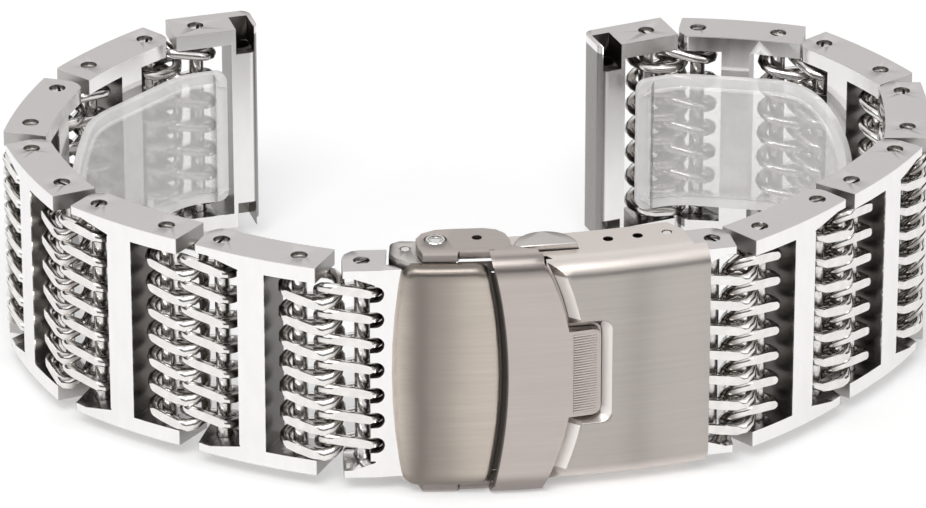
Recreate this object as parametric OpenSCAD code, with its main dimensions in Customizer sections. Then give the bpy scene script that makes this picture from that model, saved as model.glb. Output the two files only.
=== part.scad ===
// Mesh watch band standing on its edge, closed in a C: two ends for a watch case, ten H links,
// rows of interlocked wire rings on slotted screws, and a fold-over clasp with a safety latch.
// Lengths in mm, angles in degrees. Z is the band's width, the clasp faces -Y.

/* [Band] */
// Width of the links, which is the lug width that the band fits
band_width = 20; // [18:0.5:24]
// Thickness of the links
band_thickness = 3.9; // [3.6:0.1:4.2]
// Distance between the two screws of one link
link_screws = 7.3; // [7:0.1:8]
// Height of the side rails of a link, along the width of the band
rail_height = 1.45; // [1.2:0.05:1.7]
// Width of the crossbar in the middle of a link
crossbar = 2.3; // [1.8:0.1:2.6]
// Rail past the screw at the square end
square_end = 2.3; // [2:0.05:2.4]
// Rail past the screw at the rounded end
rounded_end = 1.7; // [1.4:0.05:1.8]
// Radius of the rounded inner corner
corner_radius = 1.75; // [1.4:0.05:1.8]

/* [Mesh] */
// Rings in each row
rings_per_row = 7; // [5:1:7]
// Diameter of the ring wire
wire = 0.9; // [0.7:0.05:0.9]
// Centre-line radius of the two bends of a ring
bend_radius = 1.64; // [1.55:0.01:1.7]
// Angle of each ring to the band's length
ring_tilt = 23.3; // [22:0.1:24]
// Distance from a screw to the centre of the ring's far bend
ring_reach = 2.07; // [1.95:0.01:2.1]
// Screw to screw across a mesh section, left half
section_left = 5.55; // [5.4:0.05:5.6]
// Screw to screw across a mesh section, right half
section_right = 4.95; // [4.95:0.05:5.4]

/* [Screws] */
// Diameter of a screw
screw_diameter = 1.36; // [1.1:0.02:1.4]
// Diameter of a screw head
head_diameter = 1.6; // [1.5:0.05:1.8]
// Gap around a screw and its head
screw_gap = 0.04; // [0.02:0.01:0.08]
// Gap between a screw and the bend of a ring that pulls on it
ring_gap = 0.08; // [0.05:0.01:0.15]

/* [Ends] */
// Diameter of the watch's spring bar
spring_bar = 1.5; // [1.3:0.1:1.8]
// Gap around the spring bar in an end bar
spring_bar_gap = 0.1; // [0.05:0.05:0.15]
// Width of an end bar along the band
end_bar = 2.5; // [2.3:0.1:2.8]
// Distance from the screw to the tip of an end
end_reach = 5.4; // [5.2:0.1:5.8]
// Height of the open notch at each end of an end bar
notch = 2.4; // [1.6:0.1:3]

/* [Clasp] */
// Width of the clasp cover
clasp_width = 21.2; // [21:0.1:25.4]
// Thickness of the side walls of the cover
wall = 1; // [0.8:0.05:1.1]
// Thickness of the arms of the safety latch
arm = 0.8; // [0.6:0.05:1]
// Gap between an arm and the side of the cover
arm_gap = 0.1; // [0.05:0.01:0.2]
// Diameter of the two bars that hold the band in the clasp
clasp_bar = 1.4; // [1.2:0.05:1.5]
// Gap around a clasp bar
clasp_bar_gap = 0.05; // [0.03:0.01:0.1]
// Diameter of the hinge pins of the folding blades
hinge_pin = 1; // [0.8:0.05:1.1]
// Gap around a hinge pin
hinge_gap = 0.04; // [0.02:0.01:0.08]
// Diameter of the latch rivets
rivet = 1.8; // [1.4:0.1:2]
// Gap around a latch rivet
rivet_gap = 0.05; // [0.03:0.01:0.1]
// Gap around a push button in its opening
button_gap = 0.1; // [0.06:0.01:0.15]
// Distance from one adjustment hole to the next
hole_step = 2.65; // [2.5:0.05:2.75]

/* [Hidden] */
$fn = 48;
half = band_width / 2;
t2 = band_thickness / 2;
rc = clasp_width / 2 + arm_gap + arm;      // height of the band's middle above the ground
ring_half_z = bend_radius * sin(ring_tilt) + wire / 2;
window = band_width - 2 * rail_height;
pitch = (window - 2 * ring_half_z - 0.4) / (rings_per_row - 1);
screw_r = screw_diameter / 2;
screw_bore = screw_r + screw_gap;
near = bend_radius - wire / 2 - screw_r - ring_gap;  // centre of the ring's near bend past the screw
curve = 45;                                // radius of the curved links
sag = curve - sqrt(curve * curve - link_screws * link_screws / 4);

// The clasp: an arc in its own frame, s along it and n outwards from the middle of the band.
arc = 75;
reach = 15.1;                              // from the clasp's middle to the screw of each half link
arc_y = sqrt(arc * arc - reach * reach);
centre = [6.06, -21.58];
turn = 8;
bar_s = 11.5;
bar_n = -1.2;
face_n = 2.8;
back_n = -3;
half_clasp = clasp_width / 2;
inner_wall = half_clasp - wall;
arm_in = half_clasp + arm_gap;
arm_out = arm_in + arm;
h1 = [-2.3, -2.0];                         // cover and outer blade
h2 = [9.3, -2.3];                          // outer and inner blade
rivet_at = [-8.9, -1.2];
button_at = [0.5, 0.1];
button_r = 2.75;
spring_at = [1.0, -1.0];
blade_half = 5.2;

// Directions of the links from the end of the band to the clasp, and from the clasp onwards.
to_clasp = [3, -24, -35, -66, -106, -131, -164];
onwards = [13, 45, 56, 91, 131, 171, 203];

function dir(a) = [cos(a), sin(a)];
function spin2(p, a) = [p[0] * cos(a) - p[1] * sin(a), p[0] * sin(a) + p[1] * cos(a)];
function deg(s) = s / arc * 180 / PI;
// A point of the clasp's own frame from its arc length and height.
function at(s, n) = [(arc + n) * sin(deg(s)), arc_y - (arc + n) * cos(deg(s))];
function world(p) = centre + spin2(p, turn);
screw_left = world([-reach, 0]);
screw_right = world([reach, 0]);
function mid_left(i) = i == 0 ? screw_left - dir(to_clasp[0]) * section_left / 2
    : mid_left(i - 1) - dir(to_clasp[i]) * (link_screws + section_left);
function mid_right(i) = i == 0 ? screw_right + dir(onwards[0]) * section_right / 2
    : mid_right(i - 1) + dir(onwards[i]) * (link_screws + section_right);
function link_at_left(i) = mid_left(i - 1) - dir(to_clasp[i]) * (link_screws + section_left) / 2;
function link_at_right(i) = mid_right(i - 1) + dir(onwards[i]) * (link_screws + section_right) / 2;
end_at_left = mid_left(5) - dir(to_clasp[6]) * section_left / 2;
end_at_right = mid_right(5) + dir(onwards[6]) * section_right / 2;

count = [1, 2, 3, 4, 5];
sides = ["left", "right"];
strap_names = [for (kind = ["link", "screws", "rings"]) for (s = sides) for (i = count) str(kind, "_", s, "_", i)];
end_names = [for (kind = ["", "screws_", "rings_"]) for (s = sides) for (e = ["end", "clasp"])
    kind == "" ? str(e, "_link_", s) : str(kind, e, "_", s)];
clasp_names = ["catch_block", "catch_plate", "catch_bar", "safety_latch", "latch_rivets", "clasp_cover",
    "adjust_bar", "blade_inner", "blade_outer", "blade_pin", "cover_pin", "push_button_top",
    "push_button_bottom", "button_spring_top", "button_spring_bottom", "tongue_left", "tongue_right"];

// Placing
module link_frame(side, i) {
    // i is counted from the end of the band, 6 is the clasp half link and 0 the end link
    k = 6 - i;
    p = side == "left" ? (k == 0 ? screw_left : k == 6 ? end_at_left : link_at_left(k))
        : (k == 0 ? screw_right : k == 6 ? end_at_right : link_at_right(k));
    a = side == "left" ? to_clasp[k] : onwards[k];
    translate([p[0], p[1], rc]) rotate([0, 0, a]) rotate([0, side == "left" ? 0 : 180, 0]) children();
}
module clasp_frame() {
    translate([centre[0], centre[1], rc]) rotate([0, 0, turn]) children();
}
module on_arc(s, n) {
    p = at(s, n);
    translate([p[0], p[1], 0]) rotate([0, 0, deg(s)]) children();
}
module both() {
    children();
    mirror([0, 0, 1]) children();
}
module slab(z0, z1) {
    translate([0, 0, z0]) linear_extrude(z1 - z0) children();
}

// Links, with x from the end of the band to the clasp and y towards the wrist
module band_strip(x0, x1, rounded) {
    // outline of a curved rail, whose left inner corner can be rounded
    r = corner_radius;
    difference() {
        intersection() {
            translate([x0, -3]) square([x1 - x0, 6]);
            translate([0, curve - sag]) difference() {
                circle(curve + t2, $fn = 180);
                circle(curve - t2, $fn = 180);
            }
        }
        if (rounded) difference() {
            translate([x0 - 1, rail_inner(x0) - r]) square([r + 1, r + 3]);
            translate([x0 + r, rail_inner(x0) - r]) circle(r);
        }
    }
}
function rail_inner(x) = curve - sag - sqrt(pow(curve - t2, 2) - x * x);
module screw_holes(xs) {
    for (x = xs) {
        translate([x, 0, -half - 1]) cylinder(h = band_width + 2, r = screw_bore);
        both() translate([x, 0, half - 0.62]) cylinder(h = 2, r = head_diameter / 2 + screw_gap);
    }
}
module link() {
    a = link_screws / 2;
    difference() {
        union() {
            both() slab(half - rail_height, half) band_strip(-a - rounded_end, a + square_end, true);
            slab(-half + rail_height / 2, half - rail_height / 2) band_strip(-crossbar / 2, crossbar / 2, false);
        }
        screw_holes([-a, a]);
    }
}
module end_link() {
    // the screw at x = 0, the bar at the end of the band
    x0 = -end_reach;
    bx = -end_reach + end_bar / 2;
    bore_r = spring_bar / 2 + spring_bar_gap;
    difference() {
        union() {
            both() slab(half - rail_height, half) intersection() {
                translate([x0, -t2]) square([square_end - x0, band_thickness]);
                union() {
                    translate([x0 + 0.9, -3]) square([9, 6]);
                    translate([x0, -t2 + 0.9]) square([2, band_thickness - 1.8]);
                    translate([x0 + 0.9, -t2 + 0.9]) circle(0.9);
                    translate([x0 + 0.9, t2 - 0.9]) circle(0.9);
                }
            }
            slab(-half + rail_height / 2, half - rail_height / 2) intersection() {
                translate([x0, -t2]) square([end_bar, band_thickness]);
                union() {
                    translate([x0 + 0.9, -3]) square([9, 6]);
                    translate([x0, -t2 + 0.9]) square([2, band_thickness - 1.8]);
                    translate([x0 + 0.9, -t2 + 0.9]) circle(0.9);
                    translate([x0 + 0.9, t2 - 0.9]) circle(0.9);
                }
            }
        }
        screw_holes([0]);
        translate([bx, 0, -half - 1]) cylinder(h = band_width + 2, r = bore_r);
        // open notches for the tool that draws the spring bar back
        both() translate([bx - bore_r, -bore_r, half - notch]) cube([2 * bore_r, 4, notch + 1]);
    }
}
module clasp_link() {
    // the screw at x = 0, the tube for the clasp's bar at the end of the plate
    tube = [3.8, 0.9];
    difference() {
        union() {
            both() slab(half - rail_height, half) difference() {
                polygon([[-rounded_end, -t2], [0.8, -t2], [1.9, -1.3], [1.9, t2], [-rounded_end, t2]]);
                difference() {
                    translate([-rounded_end - 1, t2 - corner_radius]) square([corner_radius + 1, corner_radius + 1]);
                    translate([-rounded_end + corner_radius, t2 - corner_radius]) circle(corner_radius);
                }
            }
            slab(-half + 1.7, half - 1.7) polygon([[2, -1.24], [3.8, -0.25], [3.8, 1.2], [2.9, 1.3], [2, 0.6]]);
            slab(-half + 0.4, half - 0.4) polygon([[-0.3, -t2], [0.8, -t2], [1.9, -1.3],
                [2.05, -1.2], [2.05, 0.5], [1.75, 0.5], [1.75, -0.9], [-0.3, -0.9]]);
            // tongue of the plate that reaches in under the clasp
            slab(-half + 1.8, half - 1.8) polygon([[1.2, -1.7], [1.9, -1.3], [3.3, -1.3], [3.3, -0.9], [1.2, -0.9]]);
            translate([tube[0], tube[1], -half + 1.7]) cylinder(h = band_width - 3.4, r = 1.15);
        }
        screw_holes([0]);
        translate([tube[0], tube[1], -half]) cylinder(h = band_width, r = clasp_bar / 2 + clasp_bar_gap);
        // openings for the near bends of the rings
        for (k = [0 : rings_per_row - 1]) translate([0, 0, (k - (rings_per_row - 1) / 2) * pitch]) {
            translate([-1, 0, -0.35]) rotate([90, 0, 0]) linear_extrude(3) square([2.1, 1.5]);
            translate([1.1, 0, 0.4]) rotate([90, 0, 0]) cylinder(h = 3, r = 0.75);
        }
    }
}

// One screw: its slotted heads are flush with the rails
module screw() {
    difference() {
        union() {
            translate([0, 0, -half]) cylinder(h = band_width, r = screw_r);
            both() translate([0, 0, half - 0.6]) cylinder(h = 0.6, r = head_diameter / 2);
        }
        both() translate([-1, -0.15, half - 0.3]) rotate([0, 0, 12]) cube([2.4, 0.3, 1]);
    }
}

// One ring: a flat loop of round wire, two half bends and two straight sides, tilted about the band's length
module ring(tilt) {
    rotate([tilt, 0, 0]) {
        translate([near, 0, 0]) rotate([0, 0, 90]) rotate_extrude(angle = 180)
            translate([bend_radius, 0]) circle(wire / 2, $fn = 24);
        translate([ring_reach, 0, 0]) rotate([0, 0, -90]) rotate_extrude(angle = 180)
            translate([bend_radius, 0]) circle(wire / 2, $fn = 24);
        for (y = [-bend_radius, bend_radius]) translate([near, y, 0]) rotate([0, 90, 0])
            cylinder(h = ring_reach - near, r = wire / 2, $fn = 24);
    }
}
module ring_row(x, way) {
    for (k = [0 : rings_per_row - 1])
        translate([x, 0, (k - (rings_per_row - 1) / 2) * pitch])
            if (way > 0) ring(ring_tilt);
            else rotate([0, 180, 0]) ring(ring_tilt);
}

// Clasp outlines, drawn in the clasp's frame
module sector(s0, s1, n0, n1) {
    // the part of the arc between two lengths and two heights
    intersection() {
        translate([0, arc_y]) difference() {
            circle(arc + n1, $fn = 360);
            circle(arc + n0, $fn = 360);
        }
        polygon([at(s0, -6), at(s0, 6), at((s0 + s1) / 2, 6), at(s1, 6), at(s1, -6), at((s0 + s1) / 2, -6)]);
    }
}
module disc(p, r) {
    translate(at(p[0], p[1])) circle(r);
}
module outline(points) {
    polygon([for (p = points) at(p[0], p[1])]);
}
module pin(p, r, z0, z1) {
    q = at(p[0], p[1]);
    translate([q[0], q[1], z0]) cylinder(h = z1 - z0, r = r);
}

module catch_block() {
    color([0.76, 0.74, 0.71]) clasp_frame() difference() {
        union() {
            both() slab(half - 1.55, half_clasp) union() {
                outline([[-12.9, -2.2], [-12.9, -0.3], [-12.5, 0.4], [-11, 1.6], [-7.6, 1.6], [-7.2, 1.2],
                    [-7.2, -2.6], [-12.3, -2.6]]);
            }
            slab(-half + 1, half - 1) sector(-9.5, -7.6, -2.7, 1.6);
        }
        pin([-bar_s, bar_n], clasp_bar / 2 + clasp_bar_gap, -12, 12);
        both() pin(rivet_at, rivet / 2 - 0.2 + rivet_gap, half - 2, 12);
    }
}
module catch_plate() {
    color([0.78, 0.76, 0.73]) clasp_frame() intersection() {
        slab(-half_clasp, half_clasp) sector(-12.6, -3.2, 1.6, 2.65);
        on_arc(-7.9, 0) translate([54.6, 6, 0]) rotate([90, 0, 0]) cylinder(h = 12, r = 59.3, $fn = 180);
        on_arc(-7.9, 0) translate([-44.3, 6, 0]) rotate([90, 0, 0]) cylinder(h = 12, r = 49, $fn = 180);
    }
}
module catch_bar() {
    color([0.7, 0.69, 0.67]) clasp_frame()
        pin([-bar_s, bar_n], clasp_bar / 2, -half_clasp + 0.05, half_clasp - 0.05);
}
module latch_rivets() {
    color([0.82, 0.81, 0.79]) clasp_frame() both() {
        pin(rivet_at, rivet / 2 - 0.2, half - 1.2, arm_out - 0.2);
        pin(rivet_at, rivet / 2, half_clasp, arm_out);
    }
}
module strap_shape(grow) {
    // seen from outside, x along the clasp and y up: the strap of the latch with its thumb tab
    intersection() {
        translate([-4.6 - grow, -arm_out - 1]) square([6.9 + 2 * grow, 2 * arm_out + 2]);
        translate([-22.6, 0]) circle(25 + grow, $fn = 180);
    }
    translate([0, -4.1 - grow]) square([4.1 + grow, 8.2 + 2 * grow]);
    translate([0, -3.4 - grow]) square([4.8 + grow, 6.8 + 2 * grow]);
}
module safety_latch() {
    color([0.78, 0.76, 0.73]) clasp_frame() difference() {
        union() {
            intersection() {
                slab(-arm_in, arm_in) sector(-4.6, 4.8, 2, 2.9);
                translate([0, 6, 0]) rotate([90, 0, 0]) linear_extrude(12) strap_shape(0);
                // clear of the catch plate, whose right edge bulges
                difference() {
                    translate([-20, -6, -20]) cube([40, 12, 40]);
                    on_arc(-7.9, 0) translate([-44.3, 8, 0]) rotate([90, 0, 0]) cylinder(h = 16, r = 49.1, $fn = 180);
                    // undercut, so that the edge clears the plate as it rises and swings back
                    on_arc(-7.9, 0) translate([-44.3, 0, 0]) rotate([90, 0, 0])
                        cylinder(h = 2.5, r1 = 51.6, r2 = 49.1, $fn = 180);
                }
            }
            both() slab(arm_in, arm_out) intersection() {
                sector(-11, 0.4, -3.3, 2.9);
                outline([[-10.1, -2.2], [-8.9, -2.9], [-7, -3.05], [-4.6, -3.05], [-3.5, -2.7], [-2.8, -1.9],
                    [-2.5, -0.7], [-2.5, 0.3], [-0.7, 1.4], [0, 2], [0, 4], [-4, 4], [-4, 1.1], [-6.9, 1.1],
                    [-7.1, 1.6], [-10, 1.6], [-10.4, 0.4], [-10.6, -1.2]]);
            }
        }
        both() pin(rivet_at, rivet / 2 + rivet_gap, half, 14);
        // grip grooves of the thumb tab
        for (k = [0 : 4]) on_arc(2.5 + 0.42 * k, 2.9) translate([0, -0.06, -3]) rotate([0, 0, 45])
            cube([0.24, 0.24, 6]);
    }
}
module button_outline(grow) {
    intersection() {
        disc(button_at, button_r + grow);
        outline([[-4, button_at[1] + grow], [5, button_at[1] + grow], [5, -5], [-4, -5]]);
    }
}
module clasp_cover() {
    color([0.76, 0.74, 0.71]) clasp_frame() difference() {
        union() {
            // side walls, lower beside the latch
            both() slab(inner_wall, half_clasp) union() {
                intersection() {
                    sector(-3.3, 13, back_n, face_n);
                    outline([[-3.3, 0.6], [-2.6, 1], [0.4, 1], [1.2, 1.9], [1.2, 6], [13, 6], [13, -1.3],
                        [11.6, -4], [-3.1, -4], [-3.3, -2.2]]);
                }
            }
            // front plate, thicker under the seat of the latch
            slab(-half_clasp, half_clasp) union() {
                sector(0.3, 14.1, 1.9, face_n);
                sector(0.3, 6.6, 1.1, 2);
            }
            // stops behind the two button springs
            both() slab(5.7, 6.4) outline([[0.3, 1.3], [1.9, 1.3], [1.9, -1.9], [0.3, -1.9]]);
        }
        // the seat of the latch's strap and thumb tab, with its bevel
        intersection() {
            slab(-12, 12) sector(-1, 6.6, 1.9, 4);
            translate([0, 6, 0]) rotate([90, 0, 0]) linear_extrude(12) union() {
                strap_shape(0.2);
                translate([0, -4.75]) square([5.6, 9.5]);
            }
        }
        for (k = [0 : 2]) pin([bar_s - k * hole_step, bar_n], clasp_bar / 2 + clasp_bar_gap, -14, 14);
        pin(h1, hinge_pin / 2 + hinge_gap, -half_clasp + 0.2, half_clasp - 0.2);
        both() slab(inner_wall - 0.5, 14) button_outline(button_gap);
    }
}
module adjust_bar() {
    color([0.7, 0.69, 0.67]) clasp_frame()
        pin([bar_s, bar_n], clasp_bar / 2, -half_clasp + 0.05, half_clasp - 0.05);
}
module blade_inner() {
    color([0.72, 0.71, 0.7]) clasp_frame() difference() {
        union() {
            slab(-blade_half, blade_half) union() {
                sector(-9.5, h2[0], -3.35, -2.7);
                disc(h2, 0.95);
            }
        }
        // room for the outer blade's knuckle
        slab(-2.6, 2.6) disc(h2, 1.2);
        pin(h2, hinge_pin / 2 + hinge_gap, -9, 9);
        // keyhole opening in the middle of the blade
        rotate([90, 0, 0]) translate([0, 0, -6]) {
            translate([-4, -1.8, 0]) cube([8, 3.6, 12]);
            translate([-4, 0, 0]) cylinder(h = 12, r = 1.8);
            translate([4, 0, 0]) cylinder(h = 12, r = 1.8);
        }
    }
}
module blade_outer() {
    color([0.74, 0.73, 0.72]) clasp_frame() difference() {
        union() {
            slab(-2.5, 2.5) union() {
                disc(h2, 0.95);
                outline([[h2[0] - 1.2, -1.35], [h2[0], -1.35], [h2[0], -2.3], [h2[0] - 1.2, -2.3]]);
            }
            slab(-blade_half, blade_half) union() {
                sector(h1[0], h2[0] - 1.1, -2.3, -1.5);
                disc(h1, 0.65);
            }
        }
        pin(h2, hinge_pin / 2 + hinge_gap, -9, 9);
        pin(h1, hinge_pin / 2 + hinge_gap, -9, 9);
    }
}
module blade_pin() {
    color([0.8, 0.79, 0.78]) clasp_frame() pin(h2, hinge_pin / 2, -blade_half, blade_half);
}
module cover_pin() {
    color([0.8, 0.79, 0.78]) clasp_frame() pin(h1, hinge_pin / 2, -half_clasp + 0.25, half_clasp - 0.25);
}
module push_button() {
    slab(inner_wall - 0.9, arm_out) button_outline(0);
    slab(inner_wall - 0.9, inner_wall - 0.2) intersection() {
        button_outline(0.4);
        outline([[-1.5, 5], [5, 5], [5, -5], [-1.5, -5]]);
    }
}
module button_spring() {
    difference() {
        pin(spring_at, 0.8, 6.4, inner_wall - 0.9);
        pin(spring_at, 0.5, 6, 10);
    }
}
module push_button_top() { color([0.74, 0.72, 0.69]) clasp_frame() push_button(); }
module push_button_bottom() { color([0.74, 0.72, 0.69]) clasp_frame() mirror([0, 0, 1]) push_button(); }
module button_spring_top() { color([0.8, 0.8, 0.8]) clasp_frame() button_spring(); }
module button_spring_bottom() { color([0.8, 0.8, 0.8]) clasp_frame() mirror([0, 0, 1]) button_spring(); }

// Clear protective tongues, bent along the inside of the two ends of the band
function corner(m, a, b, d) = m + dir((a + b) / 2 + 90) * d / cos((a - b) / 2);
function rounded(m, a, b, d) = let (v = corner(m, a, b, d))
    [v - dir(a) * 2, v - dir(a) * 0.5 + dir(b) * 0.5, v + dir(b) * 2];
function path_left(d, s0, s1) = let (a = to_clasp, e = end_at_left,
        q = link_at_left(4) - dir(a[4]) * link_screws / 2)
    concat([e + dir(a[6]) * s0 + dir(a[6] + 90) * d], rounded(mid_left(5), a[6], a[5], d),
        rounded(mid_left(4), a[5], a[4], d), [q + dir(a[4]) * s1 + dir(a[4] + 90) * d]);
function path_right(d, s0, s1) = let (a = onwards, e = end_at_right,
        q = link_at_right(4) + dir(a[4]) * link_screws / 2)
    concat([q - dir(a[4]) * s1 + dir(a[4] + 90) * d], rounded(mid_right(4), a[4], a[5], d),
        rounded(mid_right(5), a[5], a[6], d), [e - dir(a[6]) * s0 + dir(a[6] + 90) * d]);
function back_to_front(v) = [for (i = [len(v) - 1 : -1 : 0]) v[i]];
module tongue_sheet(left, d0, d1, s0, s1, h) {
    p = left ? path_left(d0, s0, s1) : path_right(d0, s0, s1);
    q = left ? path_left(d1, s0, s1) : path_right(d1, s0, s1);
    a = left ? to_clasp[4] : onwards[4];
    w = left ? 1 : -1;
    tip = (left ? link_at_left(4) : link_at_right(4)) - w * dir(a) * (link_screws / 2 - s1);
    intersection() {
        translate([0, 0, rc]) linear_extrude(2 * h, center = true) polygon(concat(p, back_to_front(q)));
        // round tip
        translate([tip[0], tip[1], rc]) rotate([0, 0, a]) translate([-w * h, 12, 0]) rotate([90, 0, 0]) union() {
            cylinder(h = 24, r = h, $fn = 90);
            translate([left ? -40 : 0, -h, 0]) cube([40, 2 * h, 24]);
        }
    }
}
module tongue(left) {
    difference() {
        tongue_sheet(left, 2.45, 3.15, -2.1, 1.6, 6.5);
        tongue_sheet(left, 2.85, 3.6, -0.9, 0.5, 5.4);
    }
}
module tongue_left() { color([0.9, 0.9, 0.9, 0.4]) tongue(true); }
module tongue_right() { color([0.9, 0.9, 0.9, 0.4]) tongue(false); }

// Coloured pieces of the strap
module end_of(side) { color([0.8, 0.79, 0.78]) link_frame(side, 0) end_link(); }
module half_link(side) { color([0.8, 0.79, 0.78]) link_frame(side, 6) clasp_link(); }
module h_link(side, i) { color([0.8, 0.79, 0.78]) link_frame(side, i) link(); }
module screws(side, i) {
    color([0.62, 0.62, 0.62]) link_frame(side, i)
        for (x = i == 0 || i == 6 ? [0] : [-link_screws / 2, link_screws / 2]) translate([x, 0, 0]) screw();
}
module rings(side, i) {
    color([0.72, 0.71, 0.69]) link_frame(side, i) {
        if (i < 6) ring_row(i == 0 ? 0 : link_screws / 2, 1);
        if (i > 0) ring_row(i == 6 ? 0 : -link_screws / 2, -1);
    }
}

for (s = sides) {
    end_of(s);
    half_link(s);
    screws(s, 0);
    screws(s, 6);
    rings(s, 0);
    rings(s, 6);
    for (i = count) {
        h_link(s, i);
        screws(s, i);
        rings(s, i);
    }
}
catch_block();
catch_plate();
catch_bar();
safety_latch();
latch_rivets();
clasp_cover();
adjust_bar();
blade_inner();
blade_outer();
blade_pin();
cover_pin();
push_button_top();
push_button_bottom();
button_spring_top();
button_spring_bottom();
tongue_left();
tongue_right();
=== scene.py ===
import random
from math import cos, pi, radians, sin, sqrt

import bmesh
import bpy
from mathutils import Matrix, Vector


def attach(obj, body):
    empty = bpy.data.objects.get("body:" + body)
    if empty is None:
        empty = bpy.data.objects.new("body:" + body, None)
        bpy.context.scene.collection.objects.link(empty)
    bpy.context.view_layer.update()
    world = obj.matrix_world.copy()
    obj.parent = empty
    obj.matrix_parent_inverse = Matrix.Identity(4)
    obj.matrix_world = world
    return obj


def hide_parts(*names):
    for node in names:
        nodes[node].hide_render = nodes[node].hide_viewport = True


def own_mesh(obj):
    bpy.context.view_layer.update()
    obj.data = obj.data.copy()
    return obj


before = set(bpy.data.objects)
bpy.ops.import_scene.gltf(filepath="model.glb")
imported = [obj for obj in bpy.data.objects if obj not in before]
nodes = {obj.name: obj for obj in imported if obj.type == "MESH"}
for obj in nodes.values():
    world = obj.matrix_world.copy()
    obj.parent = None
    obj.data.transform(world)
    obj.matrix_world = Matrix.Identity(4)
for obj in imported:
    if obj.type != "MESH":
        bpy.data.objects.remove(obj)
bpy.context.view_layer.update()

# ---------------------------------------------------------------- sizes of the band, in mm

MM = 0.001
MIDDLE = 11.5                      # height of the band's middle line above the ground
SPAN = 7.3                         # screw to screw in one link
RAIL_TOP, RAIL_INSIDE = 10.0, 8.55  # outer and inner face of a link's rails
BAR_SOLID, BAR_SHOWN = 1.15, 1.26  # half the width of a link's crossbar in the solids, and as it is shown
BOW, BOW_RADIUS = 44.852, 45       # middle and radius of a link's curve, seen from its side
MESH = {"left": 5.55, "right": 4.95}  # screw to screw across a mesh section
# how far each link is turned, in degrees, from the half link at the clasp to the end link
TURNS = {"left": [3, -24, -35, -66, -106, -131, -164],
         "right": [13, 45, 56, 91, 131, 171, 203]}
CLASP_AT, CLASP_TURN = Vector((6.06, -21.58)), 8
ARC, REACH = 75.0, 15.1            # radius of the clasp's curve; its middle to the half links' screws
ARC_Y = sqrt(ARC * ARC - REACH * REACH)
COVER_SIDE, ARM_SIDE = 10.6, 11.5  # outer faces of the clasp's cover and of the latch's arms

# one wire ring: radius of its wire and of its bends, its lean in degrees and its twist
WIRE, BEND, TILT, TWIST = 0.49, 1.64, 23.3, 0.17
RING_NEAR, RING_FAR = 0.30, 2.07   # middles of its two bends, from its screw outwards
GROUND_FLAT = 1.72                 # the fronts of the rings are ground off at this height
RINGS, RING_PITCH = 7, 2.4173
RING_HEIGHTS = [(k - (RINGS - 1) / 2) * RING_PITCH for k in range(RINGS)]

# edges of the catch plate and of the latch's strap are arcs, each given by its middle and its radius
PLATE_LEFT, PLATE_RIGHT = (46.7, 59.3), (-52.2, 48.9)
STRAP_LEFT, STRAP_RIGHT = (-52.2, 49.15), (-22.6, 25)

# places in the clasp, as length along it and height
BARS = {"catch_bar": (-11.5, -1.2), "adjust_bar": (11.5, -1.2)}
HOLE_PITCH = 2.65                  # from one adjustment hole to the next
RIVET = (-8.9, -1.2)
DIMPLE = (-5.3, -1.3)
SPRING = (1.0, -1.0)


def heading(a):
    return Vector((cos(radians(a)), sin(radians(a))))


def clasp_point(s, n):
    """A point of the clasp from its length along the arc and its height, in the clasp's own frame."""
    return Vector(((ARC + n) * sin(s / ARC), ARC_Y - (ARC + n) * cos(s / ARC), 0))


def on_ground(p):
    """A point of the clasp's own frame, seen from above in the band's frame."""
    a = radians(CLASP_TURN)
    return CLASP_AT + Vector((p.x * cos(a) - p.y * sin(a), p.x * sin(a) + p.y * cos(a)))


def mesh_middles(side):
    """Where the rows of rings of each mesh section hook into each other, from the clasp to the end."""
    way = -1 if side == "left" else 1
    turns, mesh = TURNS[side], MESH[side]
    middles = [on_ground(Vector((way * REACH, 0))) + heading(turns[0]) * way * mesh / 2]
    for k in range(1, 6):
        middles.append(middles[-1] + heading(turns[k]) * way * (SPAN + mesh))
    return middles


def link_places(side):
    """Where each link stands, 0 for the end link to 6 for the half link at the clasp."""
    way = -1 if side == "left" else 1
    turns, mesh, middles = TURNS[side], MESH[side], mesh_middles(side)
    places = {6: (on_ground(Vector((way * REACH, 0))), turns[0]),
              0: (middles[5] + heading(turns[6]) * way * mesh / 2, turns[6])}
    for k in range(1, 6):
        places[6 - k] = (middles[k - 1] + heading(turns[k]) * way * (SPAN + mesh) / 2, turns[k])
    return places


def link_matrix(side, i):
    p, a = link_places(side)[i]
    m = Matrix.Translation((p.x, p.y, MIDDLE)) @ Matrix.Rotation(radians(a), 4, "Z")
    return m if side == "left" else m @ Matrix.Rotation(pi, 4, "Y")


def screw_places(i):
    """Where the screws of a link stand along it."""
    return (0,) if i in (0, 6) else (-SPAN / 2, SPAN / 2)


CLASP = (Matrix.Translation((CLASP_AT.x, CLASP_AT.y, MIDDLE))
         @ Matrix.Rotation(radians(CLASP_TURN), 4, "Z"))

# ---------------------------------------------------------------- materials

HOLE_SHADE = (0.05, 0.045, 0.04)         # painted shade: what is seen in holes and hollows


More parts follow.
